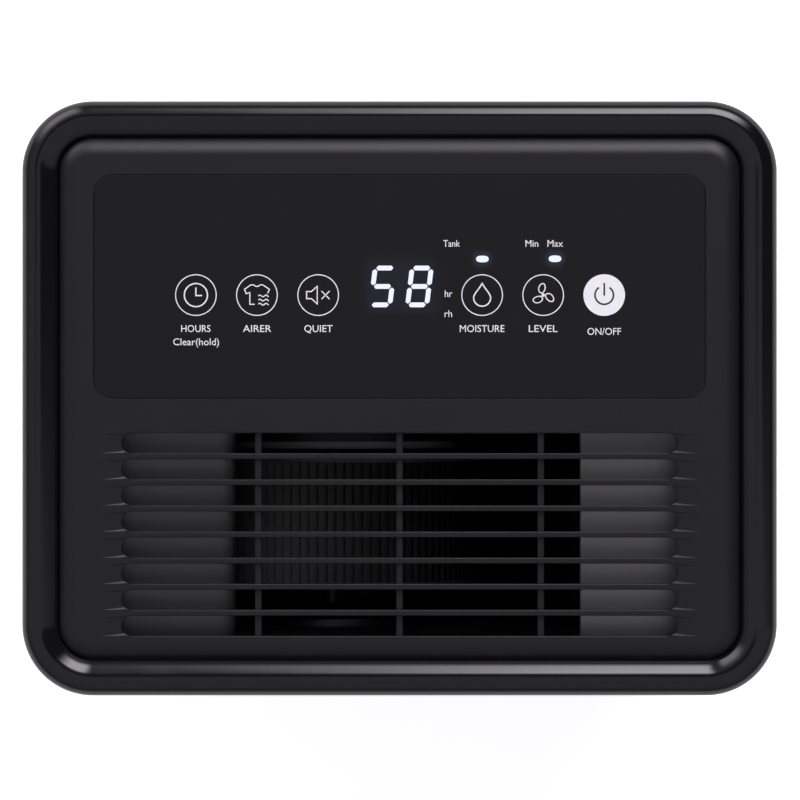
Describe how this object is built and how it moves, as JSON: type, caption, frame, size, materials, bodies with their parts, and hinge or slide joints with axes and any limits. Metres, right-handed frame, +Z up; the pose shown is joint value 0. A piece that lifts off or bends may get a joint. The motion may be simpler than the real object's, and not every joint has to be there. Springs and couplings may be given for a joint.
{
  "type": "dehumidifier",
  "caption": "Portable compressor dehumidifier on casters: rounded black body, top louvre outlet and touch film, front water tank, rear intake with filter, blower, coils and compressor.",
  "frame": {"origin": "on the floor under the centre of the body", "axes": "+Z up, tank front towards -Y, air intake towards +Y, +X to the right seen from the front"},
  "size_m": [0.32, 0.252, 0.49],
  "materials": {
    "gloss_black": "piano gloss",
    "cover_black": "fine satin",
    "film_black": "satin film",
    "shell_black": "fine texture",
    "tank_black": "satin",
    "inner_black": "moulded",
    "duct_grey": "moulded",
    "wheel_grey": "moulded",
    "white_plastic": "moulded",
    "display_block": "smooth",
    "circuit_board": "solder mask",
    "rubber_black": "matte",
    "wheel_plastic": "satin",
    "clear_plastic": "clear",
    "tank_smoke": "smoked clear",
    "filter_net": "woven net",
    "fin_aluminium": "rolled",
    "copper": "drawn tube",
    "motor_steel": "black plated",
    "bright_steel": "ground",
    "painted_steel": "black enamel"
  },
  "bodies": {
    "cabinet": {"top_rim": "gloss_black", "top_cover": "cover_black", "control_film": "film_black", "display_board": "circuit_board", "digit_display": "display_block", "front_shell": "shell_black", "rear_shell": "shell_black", "grip_left": "inner_black", "grip_right": "inner_black", "cord_gland": "rubber_black", "base_pan": "inner_black", "tank_bay": "inner_black", "float_sensor": "white_plastic", "scroll_housing": "duct_grey", "bulkhead": "duct_grey", "inlet_ring": "duct_grey", "fan_motor": "motor_steel", "evaporator": "fin_aluminium", "condenser": "fin_aluminium", "drip_tray": "white_plastic", "compressor": "painted_steel", "compressor_grommet_1": "rubber_black", "compressor_grommet_2": "rubber_black", "compressor_grommet_3": "rubber_black", "accumulator": "copper", "suction_pipe": "copper", "discharge_pipe": "copper", "capillary_tube": "copper", "control_box": "white_plastic", "main_board": "circuit_board", "motor_capacitor": "white_plastic", "humidity_sensor": "white_plastic"},
    "fan": {"blower_wheel": "wheel_grey", "fan_shaft": "bright_steel", "hub_nut": "bright_steel"},
    "tank": {"tank_front": "tank_black", "water_tank": "tank_smoke", "level_window": "clear_plastic", "tank_lid": "inner_black"},
    "float": {"float": "white_plastic", "float_magnet": "bright_steel"},
    "intake": {"intake_grille": "shell_black", "filter_frame": "inner_black", "filter_mesh": "filter_net"},
    "drain_plug": {"drain_plug": "rubber_black"},
    "caster_front_left": {"caster_front_left_fork": "inner_black"},
    "caster_front_left_wheels": {"caster_front_left_wheels": "wheel_plastic"},
    "caster_front_right": {"caster_front_right_fork": "inner_black"},
    "caster_front_right_wheels": {"caster_front_right_wheels": "wheel_plastic"},
    "caster_rear_left": {"caster_rear_left_fork": "inner_black"},
    "caster_rear_left_wheels": {"caster_rear_left_wheels": "wheel_plastic"},
    "caster_rear_right": {"caster_rear_right_fork": "inner_black"},
    "caster_rear_right_wheels": {"caster_rear_right_wheels": "wheel_plastic"}
  },
  "joints": [
    {"name": "fan_spin", "type": "hinge", "parent": "cabinet", "child": "fan", "pos_m": [-0.0305, -0.056, 0.354], "axis": [0, 1, 0], "continuous": true},
    {"name": "tank_slide", "type": "slide", "parent": "cabinet", "child": "tank", "axis": [0, -1, 0], "range_m": [0, 0.15]},
    {"name": "float_lift", "type": "hinge", "parent": "tank", "child": "float", "pos_m": [0.0855, -0.0288, 0.2144], "axis": [-1, 0, 0], "range_deg": [0, 12]},
    {"name": "intake_tilt", "type": "hinge", "parent": "cabinet", "child": "intake", "pos_m": [0, 0.1208, 0.2653], "axis": [-1, 0, 0], "range_deg": [0, 30]},
    {"name": "drain_plug_pull", "type": "slide", "parent": "cabinet", "child": "drain_plug", "axis": [0, 1, 0], "range_m": [0, 0.022]},
    {"name": "caster_front_left_swivel", "type": "hinge", "parent": "cabinet", "child": "caster_front_left", "pos_m": [-0.122, -0.09, 0.034], "axis": [0, 0, 1], "continuous": true},
    {"name": "caster_front_left_roll", "type": "hinge", "parent": "caster_front_left", "child": "caster_front_left_wheels", "pos_m": [-0.122, -0.081, 0.014], "axis": [1, 0, 0], "continuous": true},
    {"name": "caster_front_right_swivel", "type": "hinge", "parent": "cabinet", "child": "caster_front_right", "pos_m": [0.122, -0.09, 0.034], "axis": [0, 0, 1], "continuous": true},
    {"name": "caster_front_right_roll", "type": "hinge", "parent": "caster_front_right", "child": "caster_front_right_wheels", "pos_m": [0.122, -0.081, 0.014], "axis": [1, 0, 0], "continuous": true},
    {"name": "caster_rear_left_swivel", "type": "hinge", "parent": "cabinet", "child": "caster_rear_left", "pos_m": [-0.122, 0.09, 0.034], "axis": [0, 0, 1], "continuous": true},
    {"name": "caster_rear_left_roll", "type": "hinge", "parent": "caster_rear_left", "child": "caster_rear_left_wheels", "pos_m": [-0.122, 0.099, 0.014], "axis": [1, 0, 0], "continuous": true},
    {"name": "caster_rear_right_swivel", "type": "hinge", "parent": "cabinet", "child": "caster_rear_right", "pos_m": [0.122, 0.09, 0.034], "axis": [0, 0, 1], "continuous": true},
    {"name": "caster_rear_right_roll", "type": "hinge", "parent": "caster_rear_right", "child": "caster_rear_right_wheels", "pos_m": [0.122, 0.099, 0.014], "axis": [1, 0, 0], "continuous": true}
  ]
}
